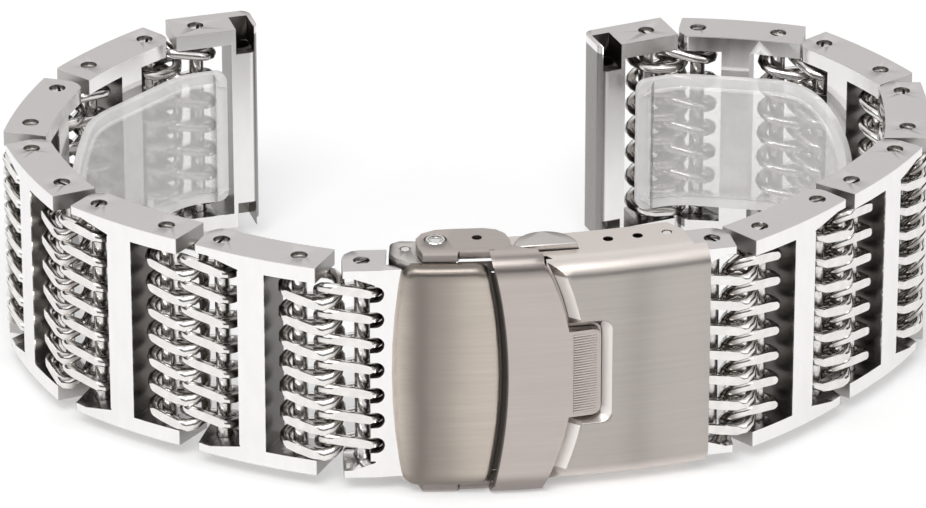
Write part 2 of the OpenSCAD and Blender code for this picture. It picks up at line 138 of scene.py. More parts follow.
class Wire:
    """One socket of a material, with which shader maths is written as plain expressions."""

    def __init__(self, tree, socket):
        self.tree, self.socket = tree, socket

    def maths(self, operation, *values):
        return self.tree.add("ShaderNodeMath", {"operation": operation}, dict(enumerate((self, *values))))

    def __add__(self, v): return self.maths("ADD", v)
    def __sub__(self, v): return self.maths("SUBTRACT", v)
    def __mul__(self, v): return self.maths("MULTIPLY", v)
    def __truediv__(self, v): return self.maths("DIVIDE", v)
    def __pow__(self, v): return self.maths("POWER", v)
    def __neg__(self): return self * -1
    def __rsub__(self, v): return self.tree.value(v).maths("SUBTRACT", self)
    def __rtruediv__(self, v): return self.tree.value(v).maths("DIVIDE", self)
    __radd__, __rmul__ = __add__, __mul__

    def size(self): return self.maths("ABSOLUTE")
    def least(self, v): return self.maths("MINIMUM", v)
    def most(self, v): return self.maths("MAXIMUM", v)

    def step(self, low, high, out_low=0.0, out_high=1.0):
        """Smooth step from out_low to out_high as this value goes from low to high."""
        return self.tree.add("ShaderNodeMapRange", {"interpolation_type": "SMOOTHSTEP"},
                             {0: self, 1: low, 2: high, 3: out_low, 4: out_high})

    def below(self, low, high):
        """1 up to low, and from there down to 0 at high."""
        return self.step(low, high, 1.0, 0.0)


class Finish:
    """The nodes of a material or of the world; add() makes any node."""

    def __init__(self, owner):
        owner.use_nodes = True
        self.owner, self.tree = owner, owner.node_tree
        self.tree.nodes.clear()

    def add(self, kind, settings=None, values=None, out=0):
        """Adds a node and gives its output, or a list of outputs where out names several."""
        node = self.tree.nodes.new(kind)
        for key, value in (settings or {}).items():
            setattr(node, key, value)
        for key, value in (values or {}).items():
            socket = node.inputs[key]
            if isinstance(value, Wire):
                self.tree.links.new(value.socket, socket)
            else:
                socket.default_value = value
        if isinstance(out, tuple):
            return [Wire(self, node.outputs[name]) for name in out]
        return Wire(self, node.outputs[out]) if node.outputs else node

    def value(self, v):
        return self.add("ShaderNodeMath", {"operation": "ADD"}, {0: v, 1: 0.0})

    def own(self):
        """The piece's own coordinates in mm, which follow it wherever its link stands."""
        return self.add("ShaderNodeAttribute", {"attribute_name": "own"}, out="Vector")

    def parts(self, vector):
        return self.add("ShaderNodeSeparateXYZ", {}, {0: vector}, out=(0, 1, 2))

    def rays(self):
        """Whether a ray comes from the camera, from a reflection or through something clear."""
        return self.add("ShaderNodeLightPath", out=("Is Camera Ray", "Is Glossy Ray", "Is Transmission Ray"))

    def noise(self, vector, stretch, detail=3.0, rough=0.55):
        """Noise from 0 to 1, squeezed along each axis by its number in stretch."""
        squeezed = self.add("ShaderNodeVectorMath", {"operation": "MULTIPLY"}, {0: vector, 1: stretch})
        return self.add("ShaderNodeTexNoise", {}, {"Vector": squeezed, "Scale": 1.0, "Detail": detail,
                                                   "Roughness": rough})

    def mix(self, share, a, b):
        """Colour between a and b."""
        ends = [v if isinstance(v, Wire) else (*v, 1.0) for v in (a, b)]
        return self.add("ShaderNodeMix", {"data_type": "RGBA"}, {0: share, 6: ends[0], 7: ends[1]}, out=2)

    def bump(self, height, depth, strength):
        return self.add("ShaderNodeBump", {}, {"Height": height, "Distance": depth, "Strength": strength})

    def done(self, **sockets):
        plain = {key.replace("_", " "): v for key, v in sockets.items()}
        shader = self.add("ShaderNodeBsdfPrincipled", {}, plain)
        self.add("ShaderNodeOutputMaterial", {}, {"Surface": shader})
        return self.owner


def tint(colour, gain):
    """A lighter or darker steel."""
    return [min(0.97, c * gain) for c in colour]


def link_steel(name, screws_at, ends, kind="link"):
    """Links: satin long edges, polished fronts, and painted shade on the side faces inside the windows and in
    other hollows.
    """
    f = Finish(bpy.data.materials.new(name))
    own = f.own()
    x, y, z = f.parts(own)
    out = z.size()
    fine = f.noise(own, (1.1, 16.0, 16.0), 4.0, 0.7)
    cloud = f.noise(own, (0.2, 0.2, 0.2), 2.0)
    gleam = f.noise(own, (1.1, 1.1, 0.35))
    satin = out.step(RAIL_TOP - 0.1, RAIL_TOP - 0.01)
    tone = (fine - 0.5) * 0.34 + (cloud - 0.5) * 0.10 + 0.5
    side = f.mix(tone.least(1.0).most(0.0), (0.50, 0.48, 0.475), (0.80, 0.77, 0.76))
    front = f.mix(gleam, (0.80, 0.785, 0.78), (0.88, 0.868, 0.863))
    # the sawn ends are duller than the fronts
    sawn = x.below(ends[0] + 0.03, ends[0] + 0.09) + x.step(ends[1] - 0.09, ends[1] - 0.03)
    front = f.mix(sawn * 0.85, front, f.mix(fine, (0.30, 0.29, 0.28), (0.48, 0.465, 0.45)))
    # painted shadow on the walls of the wells round the screw heads
    off = x.size() - screws_at
    painted_shade = (off * off + y * y).below(0.60, 0.70) * (1 - satin)
    between_rails = out.below(RAIL_INSIDE - 0.05, RAIL_INSIDE + 0.07)
    if kind == "half":
        # painted shade behind the front plate, between its fingers
        deep = y.step(-1.84, -1.64) * y.below(-0.4, 0.2) * between_rails * x.below(1.9, 2.0)
    else:
        # painted shade inside the windows, away from the front and the back, where little light gets in
        across = (x * x + (y - BOW) * (y - BOW)) ** 0.5 - BOW_RADIUS if kind == "link" else y
        deep = across.size().below(1.78, 1.92) * between_rails * x.step(-4.6, -3.8)
        # painted shade on the scooped corners of the rails, which see only the wires
        scooped = across.size().below(1.84, 1.92) * out.below(9.2, 9.35) * x.below(-1.3, -1.16)
        deep = deep.most(scooped * 0.86)
    if kind == "end":
        # painted shade in the notches at the two ends of the bar
        notch = x.step(-5.03, -5.01) * x.below(-3.29, -3.27) * y.step(-0.9, -0.88)
        deep = deep.most(notch * out.step(7.5, 7.55) * out.below(RAIL_TOP - 0.03, RAIL_TOP - 0.01))
    painted_shade = painted_shade.most(deep)
    # painted shade: the wells round the screw heads and the hollows above take this dark colour
    shade = f.mix(painted_shade * 0.90, f.mix(satin, front, side), (0.105, 0.095, 0.085))
    dull = satin.most(sawn)
    roughness = dull * (0.36 + (fine - 0.5) * 0.22) + (1 - dull) * (0.09 + gleam * 0.08 + painted_shade * 0.16)
    height = fine * satin + gleam * 0.5 * (1 - satin)
    return f.done(Base_Color=shade, Metallic=1.0, Roughness=roughness,
                  Normal=f.bump(height, 0.012 * MM, 0.45))


def brushed_steel(name, colour, streak, rough, grain, reflection_bands=(), sides=None, gap=None, pit=None, hollow=False):
    """Steel with fine straight scratches, which streak squeezes along each own axis.

    reflection_bands: painted reflections, soft stripes across the brushing, each with its place, width and
    depth; bright ones
    have a depth below 0. sides: where the painted light or shade along the long edges begins, is full and ends,
    and
    its strength. gap: 1 or -1 for the side on which a wall of the gap beside the latch stands, and its place;
    that
    wall gets painted shade. pit: the middle of a dimple with painted shade. hollow: painted shade inside, with
    painted highlights on the sloping rims.
    """
    f = Finish(bpy.data.materials.new(name))
    own = f.own()
    x, y, z = f.parts(own)
    out = z.size()
    fine = f.noise(own, streak, 4.0, 0.7)
    broad = f.noise(own, [v * 0.3 for v in streak], 3.0, 0.6)
    cloud = f.noise(own, (0.16, 0.16, 0.16), 2.0)
    tone = (fine - 0.5) * grain + (broad - 0.5) * grain * 0.9 + (cloud - 0.5) * 0.16
    shade = f.mix((tone + 0.5).least(1.0).most(0.0), tint(colour, 0.62), tint(colour, 1.38))
    # painted reflections: the dark bands first, then the bright ones
    for way, gain in ((1, 0.3), (-1, 1.6)):
        stripes = 0.0
        for at, width, depth in reflection_bands:
            if depth * way > 0:
                off = (x - at + (cloud - 0.5) * 0.8) / width
                stripes = (-off * off).maths("EXPONENT") * abs(depth) + stripes
        if stripes:
            shade = f.mix(stripes.least(0.97), shade, tint(colour, gain))
    # painted light or shade along the long edges
    if sides:
        low, high, end, gain = sides
        lit = out.step(low, high) * out.below(end, end + 0.2) * (0.9 + (fine - 0.5) * 0.2)
        shade = f.mix(lit, shade, tint(colour, gain))
    metal, dull = 1.0, 0.0
    if gap:
        # painted shade keeps the walls on both sides of the gap between the plate and the latch dark
        way, low, high = gap
        off = x - PLATE_RIGHT[0]
        from_middle = (off * off + z * z) ** 0.5
        wall = from_middle.step(low, high) if way > 0 else from_middle.below(low, high)
        wall = wall * out.below(COVER_SIDE - 0.1, COVER_SIDE)
        shade = f.mix(wall * 0.95, shade, (0.07, 0.06, 0.052))
        metal, dull = 1 - wall, wall * 0.5
    if pit:
        # painted shade inside the dimple
        along, up = x - pit[0], y - pit[1]
        inside = (along * along + up * up).below(0.17, 0.22)
        shade = f.mix(inside * out.step(10.9, 11.0) * 0.92, shade, HOLE_SHADE)
    if hollow:
        # painted shade inside the cover
        inside = out.below(COVER_SIDE - 0.12, COVER_SIDE - 0.02) * y.below(0.9, 1.4)
        shade = f.mix(inside * 0.94, shade, HOLE_SHADE)
        # painted highlight on the sloping rims of the seat and of the recess, but not on the recess's floor
        rim_highlight = y.step(1.88, 1.95) * y.below(2.66, 2.74) * out.below(9.1, 9.3) * x.below(7.0, 7.2)
        rim_highlight = rim_highlight * (1 - out.below(5.05, 5.1) * x.below(4.88, 4.92))
        shade = f.mix(rim_highlight, shade, (0.90, 0.86, 0.83))
        metal = 1 - rim_highlight * 0.75
    roughness = (rough + (fine - 0.5) * 0.22 + (cloud - 0.5) * 0.08).most(0.06) + dull
    return f.done(Base_Color=shade, Metallic=metal, Roughness=roughness,
                  Normal=f.bump(fine, 0.012 * MM, 0.55))


def polished_steel(name, colour, rough, cavity_shade=False):
    """Polished wire and pins: slow ripples and a few hairline marks; with cavity, painted shade deep in the
    mesh.
    """
    f = Finish(bpy.data.materials.new(name))
    own = f.own()
    slow = f.noise(own, (1.3, 1.3, 1.3), 2.0)
    hair = f.noise(own, (2.0, 9.0, 17.0), 5.0, 0.75)
    shade = f.mix(slow.step(0.25, 0.75), tint(colour, 0.9), colour)
    if cavity_shade:
        # painted shade deep inside the mesh, away from the rings' fronts
        deep = f.parts(own)[1].size().below(0.70, 1.45)
        shade = f.mix(deep * 0.80, shade, (0.15, 0.128, 0.112))
    roughness = (rough + (hair - 0.5) * 0.10 + (slow - 0.5) * 0.06).most(0.03)
    return f.done(Base_Color=shade, Metallic=1.0, Roughness=roughness,
                  Normal=f.bump(hair * 0.5 + slow, 0.02 * MM, 0.4))


def screw_steel():
    """Screws: turned shanks and heads, darker than the polished wire, with painted shade in their slots."""
    f = Finish(bpy.data.materials.new("turned_screw_steel"))
    own = f.own()
    x, y, z = f.parts(own)
    out = z.size()
    rings = ((x * x + y * y) ** 0.5 * 38.0).maths("SINE") * 0.5 + 0.5
    stain = f.noise(own, (3.0, 3.0, 3.0))
    steel = f.mix(stain.step(0.3, 0.7), (0.56, 0.545, 0.53), (0.80, 0.785, 0.77))
    # painted shade in the slots
    slot = out.step(9.38, 9.42) * out.below(9.58, 9.68)
    return f.done(Base_Color=f.mix(slot * 0.9, steel, HOLE_SHADE), Metallic=1.0,
                  Roughness=0.14 + rings * 0.08 + stain * 0.08, Normal=f.bump(rings, 0.008 * MM, 0.5))


def clear_film():
    """Clear film with a welted rim: milky where it is thick or bent."""
    f = Finish(bpy.data.materials.new("clear_film"))
    own = f.own()
    rim = f.add("ShaderNodeAttribute", {"attribute_name": "rim"}, out="Fac")
    haze = f.noise(own, (0.45, 0.45, 0.45), 4.0)
    wave = f.noise(own, (0.9, 0.9, 0.25), 2.0)
    edge = f.add("ShaderNodeLayerWeight", {}, {"Blend": 0.35}, out="Facing")
    alpha = (0.30 + rim * 0.34 + haze * 0.10 + edge * 0.16).least(0.92)
    return f.done(Base_Color=f.mix(haze, (0.90, 0.885, 0.88), (0.97, 0.96, 0.955)),
                  Roughness=0.16 + haze * 0.10, Alpha=alpha, Normal=f.bump(wave, 0.04 * MM, 0.4), IOR=1.45)


MATERIAL = {
    "link": link_steel("satin_and_polished_link", SPAN / 2, (-5.35, 5.95)),
    "end": link_steel("satin_and_polished_end_link", 0.0, (-9.0, 2.3), "end"),
    "half": link_steel("satin_and_polished_half_link", 0.0, (-1.7, 9.0), "half"),
    # painted light on the plate: bands of painted reflection, painted shade along the long rims and on its wall
    # beside the latch
    "plate": brushed_steel("brushed_catch_plate", (0.52, 0.463, 0.411), (0.3, 9.0, 9.0), 0.36, 0.34,
                           reflection_bands=((-12.8, 0.7, -0.6), (-10.4, 1.0, 0.42), (-9.0, 2.3, 0.58)),
                           sides=(9.1, 10.2, 20, 0.40), gap=(1, 48.62, 48.74)),
    # painted shade on the latch: a band at the strap's bend, on its wall beside the plate and in the dimples
    "latch": brushed_steel("brushed_latch", (0.49, 0.438, 0.412), (0.3, 11.0, 11.0), 0.36, 0.24,
                           sides=(9.2, 10.2, 11.2, 0.56), gap=(-1, 49.2, 49.3), pit=DIMPLE),
    # painted light on the cover: bands of painted reflection, painted highlights along the long edges, and
    # painted shade inside with painted highlights on the sloping rims
    "cover": brushed_steel("brushed_cover", (0.432, 0.398, 0.373), (0.3, 11.0, 11.0), 0.36, 0.26,
                           reflection_bands=((7.9, 1.3, 0.17), (12.4, 2.2, -0.08)), sides=(8.9, 10.4, 20, 1.75),
                           hollow=True),
    # painted shade on the left end of the lug
    "block": brushed_steel("brushed_block", (0.58, 0.55, 0.525), (0.35, 13.0, 13.0), 0.34, 0.30,
                           reflection_bands=((-12.9, 0.4, 0.95),)),
    "blade": brushed_steel("brushed_blade_steel", (0.62, 0.60, 0.58), (0.5, 11.0, 7.0), 0.30, 0.20),
    # painted shade deep in the mesh
    "ring": polished_steel("polished_wire", (0.82, 0.80, 0.775), 0.15, cavity_shade=True),
    "bright": polished_steel("bright_pin_steel", (0.74, 0.73, 0.715), 0.16),
    "screw": screw_steel(),
    "film": clear_film(),
}

# ---------------------------------------------------------------- making pieces

SHARP = radians(32)                # edges that turn by more than this are rounded
LEVEL = radians(0.4)               # faces that meet within this are made one


def place(bm, name, finish, body, replaced, matrix, crease=35, own=None):
    """Turns a mesh in a piece's own mm into a finished object in the row's frame."""
    bmesh.ops.recalc_face_normals(bm, faces=bm.faces)
    mesh = bpy.data.meshes.new(name)
    bm.to_mesh(mesh)
    bm.free()
    layer = mesh.attributes.new("own", "FLOAT_VECTOR", "POINT")
    layer.data.foreach_set("vector", [c for p in (own or [v.co for v in mesh.vertices]) for c in p])
    mesh.transform(Matrix.Scale(MM, 4) @ matrix)
    mesh.shade_smooth()
    mesh.set_sharp_from_angle(angle=radians(crease))
    mesh.materials.append(MATERIAL[finish])
    piece = bpy.data.objects.new(name, mesh)
    bpy.context.scene.collection.objects.link(piece)
    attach(piece, body)
    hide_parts(*replaced)
    return piece


def few_cornered(bm):
    """Cuts faces with many corners into triangles."""
    bmesh.ops.triangulate(bm, faces=[f for f in bm.faces if len(f.verts) > 4])


def finished(bm, name, finish, body, replaced, matrix, own=None, level=True):
    """Places a piece whose flat faces stay flat beside its rounded edges; one that isn't level bulges."""
    few_cornered(bm)
    piece = place(bm, name, finish, body, replaced, matrix, 28, own)
    lean = piece.modifiers.new("flat_faces_stay_flat", "WEIGHTED_NORMAL")
    lean.keep_sharp, lean.weight, lean.use_face_influence = True, 100 if level else 50, level


def merged(node, matrix):
    """A copy of a CAD node in its own mm, with its loose triangles joined and its flat faces made whole."""
    bm = bmesh.new()
    bm.from_mesh(nodes[node].data)
    bm.transform(matrix.inverted() @ Matrix.Scale(1 / MM, 4))
    bmesh.ops.remove_doubles(bm, verts=bm.verts, dist=0.002)
    bmesh.ops.dissolve_limit(bm, angle_limit=LEVEL, verts=bm.verts, edges=bm.edges)
    return bm


def whole(bm):
    return bm.verts[:] + bm.edges[:] + bm.faces[:]


def round_edges(bm, width, segments, chosen=None):
    """Rounds the sharp edges, or of these only the ones whose two ends chosen takes."""
    sharp = [e for e in bm.edges if len(e.link_faces) == 2 and e.calc_face_angle(0) > SHARP
             and (chosen is None or chosen(e.verts[0].co, e.verts[1].co))]
    bmesh.ops.bevel(bm, geom=sharp, offset=width, offset_type="OFFSET", affect="EDGES", segments=segments,
                    profile=0.5, material=-1, clamp_overlap=True, face_strength_mode="AFFECTED")


def on_side(a, b, out):
    """Whether both ends of an edge lie on the same long side, further out than this."""
    return abs(a.z + b.z) > 2 * out


def slice_across(bm, places, near):
    """Cuts a piece across its length at these places, so that it can bend there."""
    for x in places:
        bmesh.ops.bisect_plane(bm, geom=whole(bm), plane_co=(x, 0, 0), plane_no=(1, 0, 0), dist=near)


def draw_in(bm, axis, inner, outer, beyond, share):
    """Draws what stands between two distances from an upright axis in towards it, past a height."""
    for v in bm.verts:
        out = Vector((v.co.x - axis.x, v.co.y - axis.y, 0))
        if inner < out.length < outer and abs(v.co.z) > beyond:
            v.co -= out * (1 - share)


def turned(bm, profile, at, way):
    """Adds a piece turned on an upright axis; profile is its outline from the middle out, as radius, height."""
    ring = [bm.verts.new((at.x + r, at.y, way * z)) for r, z in profile]
    edges = [bm.edges.new(pair) for pair in zip(ring, ring[1:])]
    bmesh.ops.spin(bm, geom=ring + edges, cent=at, axis=(0, 0, 1), angle=2 * pi, steps=28, use_merge=True,
                   use_duplicate=False, dvec=(0, 0, 0))
    bmesh.ops.remove_doubles(bm, verts=bm.verts, dist=0.001)


# the clasp's pieces are made flat: x is length, y height and z width

def add_box(bm, size, middle, turns=()):
    """Adds a box to a piece, turned about its own middle by the angle and axis of each turn."""
    corners = bmesh.ops.create_cube(bm, size=1.0)["verts"]
    bmesh.ops.scale(bm, verts=corners, vec=size)
    for angle, axis in turns:
        bmesh.ops.rotate(bm, verts=corners, cent=(0, 0, 0), matrix=Matrix.Rotation(angle, 3, axis))
    bmesh.ops.translate(bm, verts=corners, vec=middle)


def block(s0, s1, n0, n1, z0, z1):
    bm = bmesh.new()
    add_box(bm, (s1 - s0, n1 - n0, z1 - z0), ((s0 + s1) / 2, (n0 + n1) / 2, (z0 + z1) / 2))
    return bm


def bore(at, radius, segments, z=0, depth=30):
    """A round that runs across the width, for a hole or a tube."""
    bm = bmesh.new()
    bmesh.ops.create_cone(bm, cap_ends=True, segments=segments, radius1=radius, radius2=radius, depth=depth)
    bmesh.ops.translate(bm, verts=bm.verts, vec=(*at, z))
    return bm


def lying(at, radius, segments, z=0, depth=6, top=None):
    """A round that lies flat, for a curved edge; with another radius at its top its wall slopes."""
    bm = bmesh.new()
    bmesh.ops.create_cone(bm, cap_ends=True, segments=segments, radius1=radius, radius2=top or radius,
                          depth=depth)
    bmesh.ops.rotate(bm, verts=bm.verts, cent=(0, 0, 0), matrix=Matrix.Rotation(pi / 2, 3, "X"))
    bmesh.ops.translate(bm, verts=bm.verts, vec=(*at, z))
    return bm


def within(arc, segments):
    """The round within one of the arcs that edge the plate and the strap."""
    return lying((arc[0], 2), arc[1], segments)


def side_outline(points, half_width):
    """A solid whose outline is drawn from the side, as length and height."""
    bm = bmesh.new()
    face = bm.faces.new([bm.verts.new((s, n, -half_width)) for s, n in points])
    grown = bmesh.ops.extrude_face_region(bm, geom=[face])["geom"]
    moved = [v for v in grown if isinstance(v, bmesh.types.BMVert)]
    bmesh.ops.translate(bm, verts=moved, vec=(0, 0, 2 * half_width))
    bmesh.ops.recalc_face_normals(bm, faces=bm.faces)
    return bm


def combine(operation, first, *others):
    """Joins solids, cuts the others from the first, or keeps what they share."""
    def held(bm):
        mesh = bpy.data.meshes.new("part")
        bm.to_mesh(mesh)
        bm.free()
        thing = bpy.data.objects.new("part", mesh)
        bpy.context.scene.collection.objects.link(thing)
        return thing

    for other in others:
        base, tool = held(first), held(other)
        step = base.modifiers.new("step", "BOOLEAN")
        step.operation, step.solver, step.object = operation, "EXACT", tool
        result = bpy.data.meshes.new_from_object(base.evaluated_get(bpy.context.evaluated_depsgraph_get()))
        first = bmesh.new()
        first.from_mesh(result)
        for thing in (base, tool):
            bpy.data.objects.remove(thing)
        bpy.data.meshes.remove(result)
        bmesh.ops.remove_doubles(first, verts=first.verts, dist=0.003)
        bmesh.ops.dissolve_limit(first, angle_limit=LEVEL, verts=first.verts, edges=first.edges)
    return first


# ---------------------------------------------------------------- links, screws and rings

# side of the link at the clasp, from its rounded end round by the front plate to the back
HALF_LINK = [(-1.7, -1.95), (1.5, -1.95), (2.6, -1.82), (3.4, -1.8), (3.25, -1.66), (2.7, -1.1), (2.2, -0.9),
             (2.0, -0.9), (2.24, 1.95), (-0.2, 1.95), (-0.85, 1.76), (-1.4, 1.28), (-1.64, 0.65), (-1.7, 0.2)]
# the bore for the clasp's bar in the same link, and the arm that carries the tube round it
TUBE = (3.8, 0.9)
TUBE_ARM = [(1.7, -1.35), (3.8, -0.25), (3.8, 1.2), (2.9, 1.3), (1.7, 0.6)]


def scoop(x0, x1, way):
    """The wedge that is taken off the front inner corner of a rail towards its rounded end."""
    bm = bmesh.new()
    for x, front in ((x0, RAIL_INSIDE), (x1, 9.6)):
        for y, z in ((-3.2, 8.4), (0.6, 8.4), (0.6, RAIL_INSIDE), (-3.2, front)):
            bm.verts.new((x, y, way * z))
    bmesh.ops.convex_hull(bm, input=bm.verts[:])
    bmesh.ops.recalc_face_normals(bm, faces=bm.faces)
    return bm


def half_link(side, node, body):
    """The link at the clasp: its front plate is as wide as the band and has a slot for each ring."""
    slots = [0.4 + height for height in RING_HEIGHTS]
    bm = combine("DIFFERENCE", side_outline(HALF_LINK, RAIL_TOP),
                 block(-3, 0.62, -3, 3, -RAIL_INSIDE, RAIL_INSIDE),
                 block(0.5, 3, -0.9, 3, -RAIL_INSIDE, RAIL_INSIDE),
                 *(block(0.4, 1.1, -3, 0.3, z - 0.75, z + 0.75) for z in slots),
                 *(lying((1.1, -1.5), 0.75, 24, z, 3.6) for z in slots),
                 *(scoop(1.05, -1.9, way) for way in (-1, 1)))
    tube = combine("UNION", side_outline(TUBE_ARM, 8.3), bore(TUBE, 1.15, 32, 0, 16.6))
    bm = combine("DIFFERENCE", combine("UNION", bm, tube), bore(TUBE, 0.75, 32), bore((0, 0), 0.54, 32),
                 *(bore((0, 0), 0.72, 32, way * 10.4, 2) for way in (-1, 1)))
    round_edges(bm, 0.07, 2, lambda a, b: min(abs(a.z), abs(b.z)) > 9.9
                and max(a.x * a.x + a.y * a.y, b.x * b.x + b.y * b.y) > 1)
    finished(bm, f"{node}_finished", "half", body, [node], link_matrix(side, 6))


def off_notches(a, b):
    """Whether an edge of the end link isn't one of the bar's notches, which stay sharp."""
    return not all(p.x < -3.2 and p.y > -1 and abs(p.z) > 7.4 for p in (a, b))


def link(side, i, node, body):
    """An H link or the end link: scooped rails, a wider crossbar, narrower screw holes and soft edges."""
    bm = merged(node, link_matrix(side, i))
    if i > 0:
        for v in bm.verts:
            if abs(abs(v.co.x) - BAR_SOLID) < 0.03 and abs(v.co.z) < 9.4:
                v.co.x *= BAR_SHOWN / BAR_SOLID
        bm = combine("DIFFERENCE", bm, *(scoop(-1.2, -5.7, way) for way in (-1, 1)))
    for x in screw_places(i):
        draw_in(bm, Vector((x, 0, 0)), 0.78, 0.9, 9.3, 0.88)
    round_edges(bm, 0.09, 3, None if i else off_notches)
    finished(bm, f"{node}_finished", "link" if i else "end", body, [node], link_matrix(side, i))


def screws(side, i, tag, body):
    """Slotted screws: their heads lie a little below the rails, each turned its own way."""
    bm = merged(f"screws_{tag}", link_matrix(side, i))
    for x in screw_places(i):
        mine = [v for v in bm.verts if abs(v.co.x - x) < 1]
        turn = Matrix.Rotation(random.uniform(0, pi), 3, "Z")
        bmesh.ops.rotate(bm, verts=mine, cent=(x, 0, 0), matrix=turn)
        for v in mine:
            if abs(v.co.z) > 9.65:
                v.co.z -= 0.25 * (1 if v.co.z > 0 else -1)
        draw_in(bm, Vector((x, 0, 0)), 0.7, 0.9, 9.3, 0.885)
    round_edges(bm, 0.025, 2)
    finished(bm, f"slotted_screws_{tag}", "screw", body, [f"screws_{tag}"], link_matrix(side, i))


def wire_ring():
    """One ring: a loop of round wire with two half bends, twisted a little, tilted, its front ground flat."""
    bm = bmesh.new()
    section = bmesh.ops.create_circle(bm, cap_ends=False, segments=10, radius=WIRE)["verts"]
    bmesh.ops.rotate(bm, verts=section, cent=(0, 0, 0), matrix=Matrix.Rotation(pi / 2, 3, "Y"))
    bmesh.ops.translate(bm, verts=section, vec=(RING_NEAR, -BEND, 0))
    geom = bm.verts[:] + bm.edges[:]
    for x, length in ((RING_NEAR, -(RING_FAR - RING_NEAR)), (RING_FAR, RING_FAR - RING_NEAR)):
        bend = bmesh.ops.spin(bm, geom=geom, cent=(x, 0, 0), axis=(0, 0, 1), dvec=(0, 0, 0),
                              angle=-pi, steps=7, use_duplicate=False)["geom_last"]
        for _ in range(2):
            edges = [e for e in bend if isinstance(e, bmesh.types.BMEdge)]
            bend = bmesh.ops.extrude_edge_only(bm, edges=edges)["geom"]
            bmesh.ops.translate(bm, verts=[v for v in bend if isinstance(v, bmesh.types.BMVert)],
                                vec=(-length / 2, 0, 0))
        geom = [g for g in bend if not isinstance(g, bmesh.types.BMFace)]
    bmesh.ops.remove_doubles(bm, verts=bm.verts, dist=0.01)
    middle = (RING_NEAR + RING_FAR) / 2
    for v in bm.verts:
        v.co.z += TWIST * (v.co.x - middle) * v.co.y / BEND
    bmesh.ops.rotate(bm, verts=bm.verts, cent=(0, 0, 0), matrix=Matrix.Rotation(radians(TILT), 3, "X"))
    cut = bmesh.ops.bisect_plane(bm, geom=whole(bm), plane_co=(0, -GROUND_FLAT, 0), plane_no=(0, -1, 0),
                                 clear_outer=True)["geom_cut"]
    bmesh.ops.holes_fill(bm, edges=[e for e in cut if isinstance(e, bmesh.types.BMEdge)])
    mesh = bpy.data.meshes.new("ring_pattern")
    bm.to_mesh(mesh)
    bm.free()
    return mesh


def ring_rows(side, i, tag, body):
    """The rows of rings on a link's screws, each of which reaches away from the link's middle."""
    bm = bmesh.new()
    rows = [(screw_places(i)[-1], 1)] if i < 6 else []
    if i > 0:
        rows.append((screw_places(i)[0], -1))
    for x, way in rows:
        for height in RING_HEIGHTS:
            old = set(bm.verts)
            bm.from_mesh(RING_PATTERN)
            m = Matrix.Translation((x, 0, height))
            if way < 0:
                m = m @ Matrix.Rotation(pi, 4, "Y")
            bmesh.ops.transform(bm, matrix=m, verts=[v for v in bm.verts if v not in old])
    place(bm, f"ring_rows_{tag}", "ring", body, [f"rings_{tag}"], link_matrix(side, i), 40)


random.seed(7)
RING_PATTERN = wire_ring()
for side in ("left", "right"):
    for i in range(7):
        word = {0: "end", 6: "clasp"}.get(i)
        body = f"{side}_{word or i}"
        tag = f"{word}_{side}" if word else f"{side}_{i}"
        if i == 6:
            half_link(side, f"clasp_link_{side}", body)
        else:
            link(side, i, f"end_link_{side}" if i == 0 else f"link_{side}_{i}", body)
        screws(side, i, tag, body)
        ring_rows(side, i, tag, body)

# ---------------------------------------------------------------- clasp


def bent(bm, name, finish, body, node, level=True):
    """Bends a flat piece of the clasp along its arc and places it."""
    slice_across(bm, [k * 0.8 for k in range(-17, 20)], 0.004)
    few_cornered(bm)
    flat = [v.co.copy() for v in bm.verts]
    for v in bm.verts:
        v.co = clasp_point(v.co.x, v.co.y) + Vector((0, 0, v.co.z))
    finished(bm, name, finish, body, [node], CLASP, flat, level)


LUG = [(-12.9, -2.2), (-12.9, -0.3), (-12.5, 0.4), (-11, 1.55), (-7.6, 1.55), (-7.2, 1.2), (-7.2, -2.6),
       (-12.3, -2.6)]


def catch_block():
    """The block under the catch plate, with a lug at each side for the band's bar and the rivet."""
    bm = combine("DIFFERENCE", side_outline(LUG, COVER_SIDE), block(-14, -9.5, -4, 3, -8.45, 8.45),
                 block(-7.6, -7, -4, 3, -9, 9), bore(BARS["catch_bar"], 0.46, 24), bore(RIVET, 0.72, 32))
    round_edges(bm, 0.3, 3, lambda a, b: max(a.x, b.x) < -12.2 and on_side(a, b, 10.49))
    round_edges(bm, 0.08, 2)
    bent(bm, "catch_block_finished", "block", "catch", "catch_block")


def catch_plate():
    """The pillow-shaped plate on the catch: bulged sides, and rounded corners and rim."""
    bm = combine("INTERSECT", block(-13, -3, 1.6, 2.65, -COVER_SIDE, COVER_SIDE),
                 within(PLATE_LEFT, 132), within(PLATE_RIGHT, 132))
    round_edges(bm, 1.1, 5, lambda a, b: on_side(a, b, 10.49) and abs(a.y - b.y) > 0.9)
    round_edges(bm, 0.95, 6, lambda a, b: min(a.y, b.y) > 2.6)
    slice_across(bm, [k * 0.5 for k in range(-26, -5)], 0.004)
    for v in bm.verts:
        # the left side of the pillow falls away
        fall = max(0.0, -9.3 - v.co.x) / 3.3
        if v.co.y > 1.7:
            v.co.y -= 0.34 * fall * fall
    for way in (-1, 1):
        # flange that closes the gap below the arm of the latch
        add_box(bm, (3.3, 0.6, 0.7), (-5.4, 1.42, way * 10.1))
    # ledge below the latch, which closes the bottom of the gap beside it
    add_box(bm, (3.2, 0.35, 18.8), (-4.5, 1.45, 0))
    bent(bm, "catch_plate_finished", "plate", "catch", "catch_plate", level=False)


ARM = [(-10.1, -2.2), (-8.9, -2.9), (-7, -3.05), (-4.6, -3.05), (-3.5, -2.7), (-2.8, -1.9), (-2.5, -0.7),
       (-2.5, 0.3), (-0.7, 1.4), (0, 2), (0, 4), (-4, 4), (-4, 1.1), (-6.9, 1.1), (-7.1, 1.6), (-10, 1.6),
       (-10.4, 0.4), (-10.6, -1.2)]


